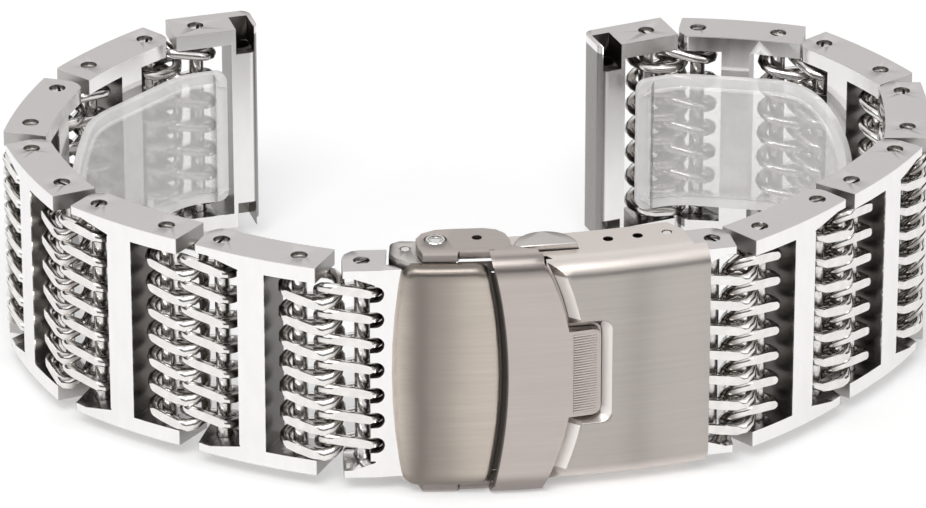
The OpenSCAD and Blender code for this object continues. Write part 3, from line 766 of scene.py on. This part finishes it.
def safety_latch():
    """The latch: its strap bends round into its two arms, and the thumb tab slopes down with fine ribs."""
    sheet = combine("DIFFERENCE", block(-11, 4.8, -3.3, 2.9, -ARM_SIDE, ARM_SIDE),
                    block(-12, 6, -4, 2, -10.7, 10.7))
    round_edges(sheet, 1.7, 8, lambda a, b: min(a.y, b.y) > 2.8 and on_side(a, b, 11.4))
    strap = combine("INTERSECT", block(-4.6, 2.3, 1.2, 3.5, -12, 12), within(STRAP_RIGHT, 180))
    strap = combine("DIFFERENCE", strap, within(STRAP_LEFT, 132))
    tab = block(0, 4.8, 1.95, 3.5, -4.1, 4.1)
    round_edges(tab, 0.7, 3, lambda a, b: min(a.x, b.x) > 4.7 and abs(a.y - b.y) > 1)
    arms = combine("DIFFERENCE", side_outline(ARM, 12), block(-12, 6, -4, 5, -10.68, 10.68))
    bm = combine("INTERSECT", sheet, combine("UNION", strap, tab, arms))
    bm = combine("DIFFERENCE", bm, bore(RIVET, 0.95, 40),
                 *(bore(DIMPLE, 0.44, 24, way * (ARM_SIDE + 0.12), 1) for way in (1, -1)))
    # the strap's left edge is cut back below, so that it clears the plate as it rises
    round_edges(bm, 0.45, 1, lambda a, b: 1.95 < min(a.y, b.y) and max(a.y, b.y) < 2.05
                and max(a.x, b.x) < -2.9)
    round_edges(bm, 0.15, 2, lambda a, b: min(abs(a.z), abs(b.z)) > 11.4
                and max((Vector((p.x, p.y)) - Vector(RIVET)).length for p in (a, b)) < 1)
    round_edges(bm, 0.11, 3, lambda a, b: min(a.y, b.y) > 2.8)
    round_edges(bm, 0.05, 2)
    for v in bm.verts:
        if abs(v.co.z) < 4.2 and v.co.x > 2.5 and v.co.y > 2.4:
            v.co.y -= 0.13 * (v.co.x - 2.4)
    for k in range(-15, 16):
        add_box(bm, (2.0, 0.14, 0.13), (3.45, 2.765, k * 0.243), ((radians(45), "X"), (-0.13, "Z")))
    bent(bm, "safety_latch_finished", "latch", "latch", "safety_latch")


WALL = [(-3.3, 0.6), (-2.6, 1), (0.4, 1), (1.2, 1.9), (1.2, 2.9), (13, 2.9), (13, -1.3), (12.1, -3), (-3.2, -3),
        (-3.3, -2.2)]
SEAT_FLOOR, SEAT_DEPTH = 1.85, 1.15


def clasp_cover():
    """The cover: rounded long edges, a seat with a sloping rim for the latch, and small adjustment holes."""
    shell = combine("DIFFERENCE", block(-3.3, 14.1, -3, 2.8, -COVER_SIDE, COVER_SIDE),
                    block(-5, 15, -4, 1.9, -9.6, 9.6))
    round_edges(shell, 1.8, 8, lambda a, b: min(a.y, b.y) > 2.7 and on_side(a, b, 10.49))
    wall = combine("UNION", side_outline(WALL, 11), block(0.3, 14.1, 1.5, 3, -11, 11))
    bm = combine("INTERSECT", shell, wall)
    bm = combine("UNION", bm, block(0.3, 6.6, 1.1, 1.95, -9.7, 9.7))
    # the seat of the strap and the recess of the tab have sloping walls
    cone = lying((STRAP_RIGHT[0], SEAT_FLOOR + SEAT_DEPTH / 2), 26.5, 180, 0, SEAT_DEPTH, 25.2)
    seat = combine("INTERSECT", block(-4.8, 5, 1.8, 3.5, -12, 12), cone)
    recess = block(0, 4.95, SEAT_FLOOR, 3, -4.45, 4.45)
    for v in recess.verts:
        if v.co.y > 2:
            v.co.x, v.co.z = (6.0 if v.co.x > 1 else 0), v.co.z * 5.0 / 4.45
    round_edges(recess, 0.8, 4, lambda a, b: min(a.x, b.x) > 4.5 and abs(a.y - b.y) > 1)
    bm = combine("DIFFERENCE", bm, seat, recess)
    round_edges(bm, 0.12, 3, lambda a, b: 2.75 < min(a.y, b.y) and max(a.x, b.x) < 6.5)
    button = combine("INTERSECT", bore((0.5, 0.1), 2.85, 64), block(-4, 5, -5, 0.2, -16, 16))
    s, n = BARS["adjust_bar"]
    bm = combine("DIFFERENCE", bm, button, *(bore((s - HOLE_PITCH * k, n), 0.46, 24) for k in range(3)))
    round_edges(bm, 0.05, 2)
    for way in (-1, 1):
        # what each button's spring stands on
        add_box(bm, (1.6, 3.2, 0.7), (1.1, -0.3, way * 6.05))
    bent(bm, "clasp_cover_finished", "cover", "cover", "clasp_cover")


def push_buttons():
    """The two buttons, which stand out less than their solids and have rounded rims."""
    for where, way in (("top", 1), ("bottom", -1)):
        node = f"push_button_{where}"
        bm = merged(node, CLASP)
        for v in bm.verts:
            if abs(v.co.z) > 11.3:
                v.co.z -= 0.35 * way
        round_edges(bm, 0.14, 3, lambda a, b: min(abs(a.z), abs(b.z)) > 11.0)
        round_edges(bm, 0.05, 2)
        finished(bm, f"{node}_finished", "block", f"button_{where}", [node], CLASP)


def bars_and_rivets():
    """Bars with turned-down tips, which lie in the holes of the walls, and the rivets of the latch."""
    for node, body, reach in (("catch_bar", "catch", 8.3), ("adjust_bar", "cover", 9.4)):
        bm = bmesh.new()
        for way in (1, -1):
            turned(bm, [(0, 0), (0.70, 0), (0.70, reach), (0.64, reach + 0.1), (0.43, reach + 0.1),
                        (0.43, 10.42), (0.36, 10.52), (0, 10.53)], clasp_point(*BARS[node]), way)
        doubled = [f for f in bm.faces if all(abs(v.co.z) < 0.001 for v in f.verts)]
        bmesh.ops.delete(bm, geom=doubled, context="FACES")
        place(bm, f"{node}_turned", "bright", body, [node], CLASP, 30)
    bm = bmesh.new()
    for way in (-1, 1):
        turned(bm, [(0, 8.8), (0.68, 8.8), (0.68, 10.62), (0.88, 10.62), (0.88, 11.36), (0.80, 11.47),
                    (0.68, 11.47), (0.62, 11.30), (0.52, 11.30), (0.46, 11.42), (0.25, 11.47), (0, 11.475)],
               clasp_point(*RIVET), way)
    place(bm, "latch_rivets_turned", "bright", "catch", ["latch_rivets"], CLASP, 30)


def button_springs():
    """Small coils behind the push buttons, each with a mesh of its own."""
    low, high, radius, wire = 6.4, 8.7, 0.62, 0.13
    turns, steps = 5, 16
    at = clasp_point(*SPRING)
    for where, way in (("top", 1), ("bottom", -1)):
        bm = bmesh.new()
        section = bmesh.ops.create_circle(bm, cap_ends=True, segments=8, radius=wire)["verts"]
        bmesh.ops.rotate(bm, verts=section, cent=(0, 0, 0), matrix=Matrix.Rotation(pi / 2, 3, "X"))
        bmesh.ops.translate(bm, verts=section, vec=at + Vector((radius, 0, low + 0.15)))
        bmesh.ops.spin(bm, geom=whole(bm), cent=at, axis=(0, 0, 1), angle=2 * pi * turns,
                       steps=turns * steps, use_duplicate=False,
                       dvec=(0, 0, (high - low - 0.3) / (turns * steps)))
        if way < 0:
            bmesh.ops.scale(bm, verts=bm.verts, vec=(1, 1, -1))
        node = f"button_spring_{where}"
        spring = place(bm, f"{node}_coil", "bright", "cover", [node], CLASP, 40)
        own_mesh(spring)


catch_block()
catch_plate()
safety_latch()
clasp_cover()
push_buttons()
bars_and_rivets()
button_springs()
for node, body, finish in (("blade_inner", "catch", "blade"), ("blade_outer", "blade", "blade"),
                           ("blade_pin", "blade", "bright"), ("cover_pin", "blade", "bright")):
    bm = merged(node, CLASP)
    round_edges(bm, 0.05, 3)
    finished(bm, f"{node}_finished", finish, body, [node], CLASP)

# ---------------------------------------------------------------- clear tongues

FILM_HALF = 6.5                    # half the width of a tongue
FILM_BACK = 2.45                   # how far its back stands from the band's middle line
FILM_RIM, FILM_WEB = 0.7, 0.4      # how thick it is at its rim and inside it
FILM_PAST = {"left": 1.1, "right": 3.0}   # how far it reaches past the middle of its third link
FILM_STEPS = 60


def film_path(side):
    """The line that a tongue's back follows inside the band, as a row of points from its foot to its tip."""
    turns, middles, places = TURNS[side], mesh_middles(side), link_places(side)
    way = -1 if side == "left" else 1

    def bend(m, a, b):
        v = m + heading((a + b) / 2 + 90) * FILM_BACK / cos(radians((a - b) / 2))
        return [v + heading(a) * 2 * way, v, v - heading(b) * 2 * way]

    end = places[0][0] + heading(turns[6]) * 2.1 * way + heading(turns[6] + 90) * FILM_BACK
    tip = places[2][0] - heading(turns[4]) * way * FILM_PAST[side] + heading(turns[4] + 90) * FILM_BACK
    points = [end]
    for p0, p1, p2 in (bend(middles[5], turns[6], turns[5]), bend(middles[4], turns[5], turns[4])):
        points += [p0 * (1 - t) ** 2 + p1 * 2 * t * (1 - t) + p2 * t * t for t in (k / 8 for k in range(9))]
    return points + [tip]


def along_path(points, u):
    """The point and the direction at a length u along a row of points."""
    for p, q in zip(points, points[1:]):
        step = (q - p).length
        if u <= step or q is points[-1]:
            return p + (q - p) * u / step, (q - p).normalized()
        u -= step


def tongue(side):
    """Clear film with a thick welted rim, made flat with a round tip and then bent along its path."""
    points = film_path(side)
    length = sum((q - p).length for p, q in zip(points, points[1:]))
    bm = bmesh.new()
    bmesh.ops.create_circle(bm, cap_ends=True, segments=56, radius=FILM_HALF)
    bmesh.ops.rotate(bm, verts=bm.verts, cent=(0, 0, 0), matrix=Matrix.Rotation(pi / 2, 3, "X"))
    for v in bm.verts:
        v.co.x = 0 if v.co.x < -0.01 else v.co.x + length - FILM_HALF
    bmesh.ops.dissolve_limit(bm, angle_limit=radians(0.5), verts=bm.verts, edges=bm.edges)
    corners = [v for v in bm.verts if v.co.x < 0.01]
    bmesh.ops.bevel(bm, geom=corners, offset=0.9, offset_type="OFFSET", affect="VERTICES", segments=4,
                    profile=0.5, material=-1)
    front = bmesh.ops.extrude_face_region(bm, geom=bm.faces[:])["geom"]
    bmesh.ops.translate(bm, verts=[v for v in front if isinstance(v, bmesh.types.BMVert)],
                        vec=(0, FILM_RIM, 0))
    rim = bm.verts.layers.float.new("rim")
    for v in bm.verts:
        v[rim] = 1.0
    for face in [f for f in bm.faces if len(f.verts) > 8]:
        deep = FILM_RIM - FILM_WEB if face.calc_center_median().y > 0.1 else 0
        bmesh.ops.inset_individual(bm, faces=[face], thickness=0.95, depth=0, use_even_offset=True)
        bmesh.ops.inset_individual(bm, faces=[face], thickness=0.22, depth=-deep, use_even_offset=True)
        for v in face.verts:
            v[rim] = 0.0
    edges = [e for e in bm.edges if len(e.link_faces) == 2 and e.calc_face_angle(0) > radians(60)]
    bmesh.ops.bevel(bm, geom=edges, offset=0.2, offset_type="OFFSET", affect="EDGES", segments=3, profile=0.5,
                    material=-1, clamp_overlap=True)
    slice_across(bm, [length * k / FILM_STEPS for k in range(1, FILM_STEPS)], 0.002)
    flat = [v.co.copy() for v in bm.verts]
    for v in bm.verts:
        p, d = along_path(points, v.co.x)
        p = p + Vector((-d.y, d.x)) * (1 if side == "left" else -1) * v.co.y
        v.co = (p.x, p.y, v.co.z)
    place(bm, f"clear_tongue_{side}", "film", f"{side}_tongue", [f"tongue_{side}"],
          Matrix.Translation((0, 0, MIDDLE)), own=flat)


for side in ("left", "right"):
    tongue(side)

# ---------------------------------------------------------------- floor, light and camera


def sky():
    """A wide soft box overhead, and a dark room behind it for the polished steel to show."""
    f = Finish(bpy.data.worlds.new("studio"))
    bpy.context.scene.world = f.owner
    seen, gloss, through = f.rays()
    x, _, z = f.parts(f.add("ShaderNodeTexCoord", out="Generated"))
    studio = z.step(0.20, 0.42, 0.07, 1.0) * x.size().step(0.55, 0.95, 1.0, 0.4) * z.step(0.93, 0.99, 1.0, 0.7)
    white = (seen + through).least(1.0)
    level = white + (1 - white) * (gloss * studio + (1 - gloss) * 0.60)
    back = f.add("ShaderNodeBackground", {}, {"Color": (1, 1, 1, 1), "Strength": level})
    f.add("ShaderNodeOutputWorld", {}, {"Surface": back})


def floor():
    """White paper, which ends in the steel's reflections where the dark room begins."""
    bm = bmesh.new()
    bmesh.ops.create_grid(bm, x_segments=1, y_segments=1, size=3.0)
    mesh = bpy.data.meshes.new("floor")
    bm.to_mesh(mesh)
    bm.free()
    f = Finish(bpy.data.materials.new("white_floor"))
    seen, gloss, through = f.rays()
    here = f.add("ShaderNodeTexCoord", out="Object")
    paper = f.mix(f.noise(here, (30, 30, 30), 2.0), (0.78, 0.78, 0.78), (0.80, 0.80, 0.80))
    x, y, _ = f.parts(here)
    near = 1 - gloss * ((x * x + y * y) ** 0.5).step(0.14, 0.45, 0.0, 0.93)
    lift = ((seen + through).least(1.0) * 0.26 + gloss * 0.28) * near
    mesh.materials.append(f.done(Base_Color=f.mix(near, (0.02, 0.02, 0.02), paper), Roughness=0.9,
                                 Emission_Color=f.mix(lift, (0, 0, 0), (1, 1, 1)), Emission_Strength=1.0))
    plane = bpy.data.objects.new("floor", mesh)
    bpy.context.scene.collection.objects.link(plane)


def lamp(name, at, size, power):
    """A soft box that is aimed at the middle of the band."""
    data = bpy.data.lights.new(name, "AREA")
    data.shape, data.size, data.size_y, data.energy = "RECTANGLE", size[0], size[1], power
    lamp_object = bpy.data.objects.new(name, data)
    lamp_object.location = at
    lamp_object.rotation_euler = (Vector((0, 0, 0.011)) - Vector(at)).to_track_quat("-Z", "Y").to_euler()
    bpy.context.scene.collection.objects.link(lamp_object)


sky()
floor()
lamp("soft_box_front", (-0.10, -0.48, 0.62), (0.5, 0.3), 2.9)
lamp("soft_box_left", (-0.55, -0.30, 0.35), (0.3, 0.4), 0.6)
lamp("soft_box_right", (0.55, -0.25, 0.30), (0.25, 0.4), 0.4)

data = bpy.data.cameras.new("camera")
data.sensor_width, data.lens = 36.0, 287.4
data.clip_start, data.clip_end = 0.01, 20.0
camera = bpy.data.objects.new("camera", data)
camera.location = (-0.00026, -0.58351, 0.30568)
camera.rotation_euler = (radians(63.135), 0, 0)
bpy.context.scene.collection.objects.link(camera)
bpy.context.scene.camera = camera
bpy.context.scene.view_settings.view_transform = "Standard"
